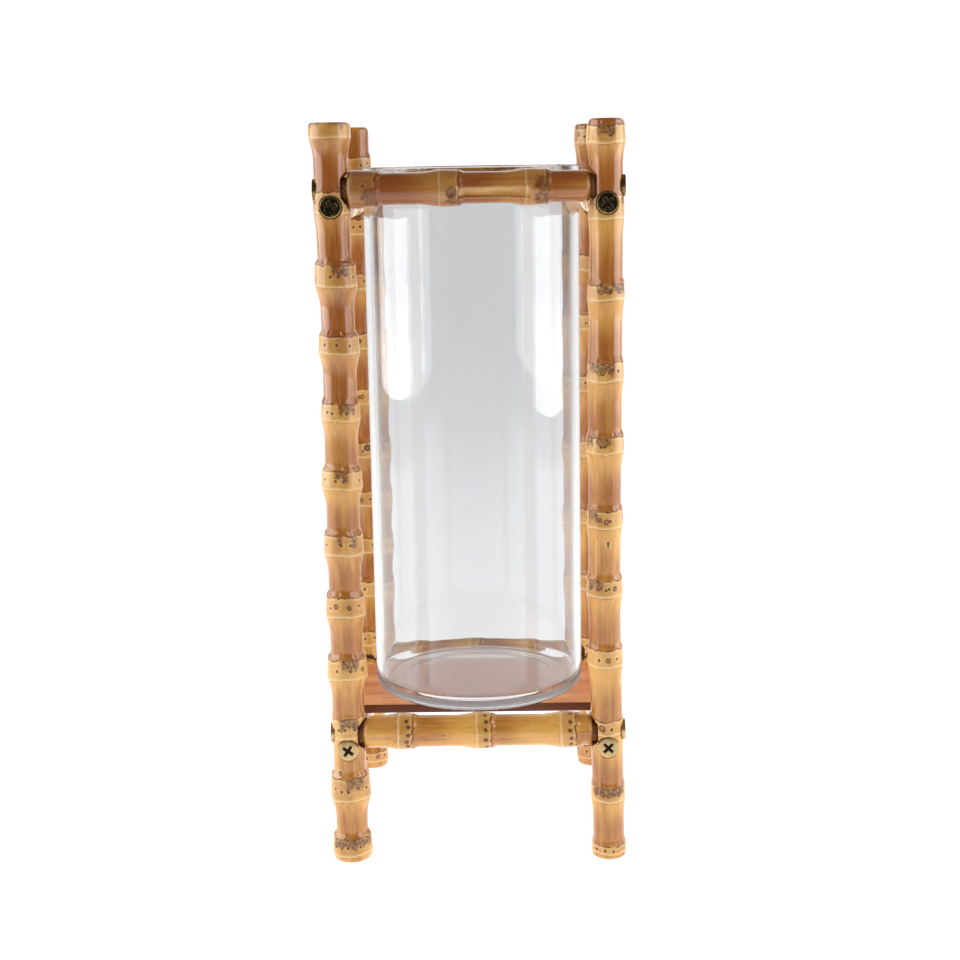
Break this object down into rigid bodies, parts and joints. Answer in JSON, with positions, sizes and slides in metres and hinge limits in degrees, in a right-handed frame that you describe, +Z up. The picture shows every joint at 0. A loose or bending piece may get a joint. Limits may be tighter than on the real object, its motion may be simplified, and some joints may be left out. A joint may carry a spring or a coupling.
{
  "type": "bamboo vase",
  "caption": "Square bamboo-cane frame with screwed rails and a small base board, holding a removable clear glass cylinder for flowers.",
  "frame": {"origin": "centre of the square footprint, on the surface that the feet stand on", "axes": "+Z up, +X to the right and -Y towards the front as the vase is seen in the picture"},
  "size_m": [0.1358, 0.1377, 0.3315],
  "materials": {
    "bamboo_cane": "gloss varnish",
    "bamboo_board": "stained and varnished",
    "clear_glass": "polished",
    "bronze_screw": "antique bronze",
    "brass_screw": "dull brass"
  },
  "bodies": {
    "frame": {"post_front_left": "bamboo_cane", "post_front_right": "bamboo_cane", "post_back_left": "bamboo_cane", "post_back_right": "bamboo_cane", "rail_upper_front": "bamboo_cane", "rail_upper_back": "bamboo_cane", "rail_upper_left": "bamboo_cane", "rail_upper_right": "bamboo_cane", "rail_lower_front": "bamboo_cane", "rail_lower_back": "bamboo_cane", "rail_lower_left": "bamboo_cane", "rail_lower_right": "bamboo_cane", "base_board": "bamboo_board", "screw_upper_front_rail_left_end": "bronze_screw", "screw_upper_front_rail_right_end": "bronze_screw", "screw_upper_back_rail_left_end": "bronze_screw", "screw_upper_back_rail_right_end": "bronze_screw", "screw_upper_left_rail_front_end": "bronze_screw", "screw_upper_left_rail_back_end": "bronze_screw", "screw_upper_right_rail_front_end": "bronze_screw", "screw_upper_right_rail_back_end": "bronze_screw", "screw_lower_front_rail_left_end": "brass_screw", "screw_lower_front_rail_right_end": "brass_screw", "screw_lower_back_rail_left_end": "brass_screw", "screw_lower_back_rail_right_end": "brass_screw", "screw_lower_left_rail_front_end": "brass_screw", "screw_lower_left_rail_back_end": "brass_screw", "screw_lower_right_rail_front_end": "brass_screw", "screw_lower_right_rail_back_end": "brass_screw"},
    "glass": {"glass_cylinder": "clear_glass"}
  },
  "joints": [
    {"name": "glass_lift", "type": "slide", "parent": "frame", "child": "glass", "axis": [0, 0, 1], "range_m": [0, 0.28]}
  ]
}
